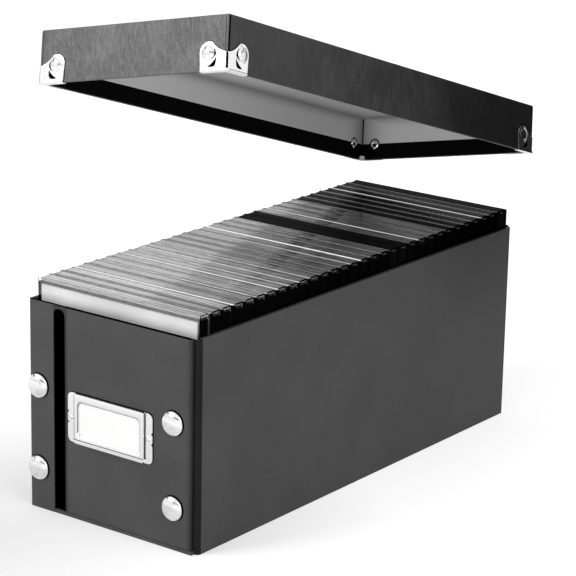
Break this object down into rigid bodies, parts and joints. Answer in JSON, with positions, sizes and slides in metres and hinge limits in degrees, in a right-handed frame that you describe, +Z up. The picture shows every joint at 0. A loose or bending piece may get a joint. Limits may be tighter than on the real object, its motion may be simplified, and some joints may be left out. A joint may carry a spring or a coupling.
{
  "type": "cd storage box",
  "caption": "Long board storage box for compact discs, with a tipped lift-off lid, metal lid corners, snap-closed end panels, a label holder and a full row of jewel cases.",
  "frame": {"origin": "middle of the underside of the box", "axes": "+Z up, -Y towards the end with the label holder, +X to that end's right"},
  "size_m": [0.1444, 0.3695, 0.3135],
  "materials": {
    "covered_board": "stiff board wrapped in black leather-grain paper, low sheen",
    "flexible_covering": "black covering with no board behind it, so that it folds",
    "lining_paper": "plain light grey lining paper, matt",
    "chrome": "bright nickel-plated steel",
    "card": "blank white card",
    "clear_case": "clear polystyrene",
    "tray_plastic": "black polystyrene tray",
    "inlay_paper": "plain printed paper with no text",
    "booklet_paper": "plain coated paper with no text",
    "disc_metal": "polycarbonate disc with a mirror layer"
  },
  "bodies": {
    "box": {"back_crease": "flexible_covering", "back_inner_wall": "covered_board", "back_snap_eyelets": "chrome", "back_snap_studs": "chrome", "back_strip": "covered_board", "back_strip_snap_caps": "chrome", "back_strip_snap_sockets": "chrome", "base_board": "covered_board", "fold_corners": "covered_board", "front_crease": "flexible_covering", "front_inner_wall": "covered_board", "front_snap_eyelets": "chrome", "front_snap_studs": "chrome", "front_strip": "covered_board", "front_strip_snap_caps": "chrome", "front_strip_snap_sockets": "chrome", "left_wall": "covered_board", "right_wall": "covered_board", "row_booklets": "booklet_paper", "row_case_backs": "clear_case", "row_case_covers": "clear_case", "row_case_inlays": "inlay_paper", "row_disc_trays": "tray_plastic", "row_discs": "disc_metal", "strip_corners": "covered_board"},
    "lid": {"lid_back_rim": "covered_board", "lid_ceiling": "lining_paper", "lid_corner_rivets": "chrome", "lid_corners": "chrome", "lid_front_rim": "covered_board", "lid_left_rim": "covered_board", "lid_right_rim": "covered_board", "lid_rivet_washers": "chrome", "lid_top_board": "covered_board", "lid_turn_ins": "covered_board", "lid_wall_linings": "lining_paper"},
    "front_panel": {"front_panel": "covered_board", "front_panel_snap_caps": "chrome", "front_panel_snap_sockets": "chrome", "label_holder": "chrome", "label_holder_rivets": "chrome"},
    "back_panel": {"back_panel": "covered_board", "back_panel_snap_caps": "chrome", "back_panel_snap_sockets": "chrome"},
    "label_card": {"label_card": "card"},
    "front_case": {"front_case_cover": "clear_case", "front_case_back": "clear_case", "front_case_inlay": "inlay_paper", "front_disc_tray": "tray_plastic", "front_disc": "disc_metal", "front_booklet": "booklet_paper"}
  },
  "joints": [
    {"name": "lid_swing", "type": "hinge", "parent": "box", "child": "lid", "pos_m": [-0.15496, 0.24513, 0.1153], "axis": [-0.8434, -0.5332, 0.0663], "range_deg": [-20.9, 0]},
    {"name": "front_panel_swing", "type": "hinge", "parent": "box", "child": "front_panel", "pos_m": [-0.0405, -0.1673, 0], "axis": [0, 0, -1], "range_deg": [0, 120]},
    {"name": "back_panel_swing", "type": "hinge", "parent": "box", "child": "back_panel", "pos_m": [-0.0405, 0.1673, 0], "axis": [0, 0, 1], "range_deg": [0, 120]},
    {"name": "label_card_slide", "type": "slide", "parent": "front_panel", "child": "label_card", "axis": [0, 0, 1], "range_m": [0, 0.03]},
    {"name": "front_case_lift", "type": "slide", "parent": "box", "child": "front_case", "axis": [0, 0, 1], "range_m": [0, 0.131]}
  ]
}
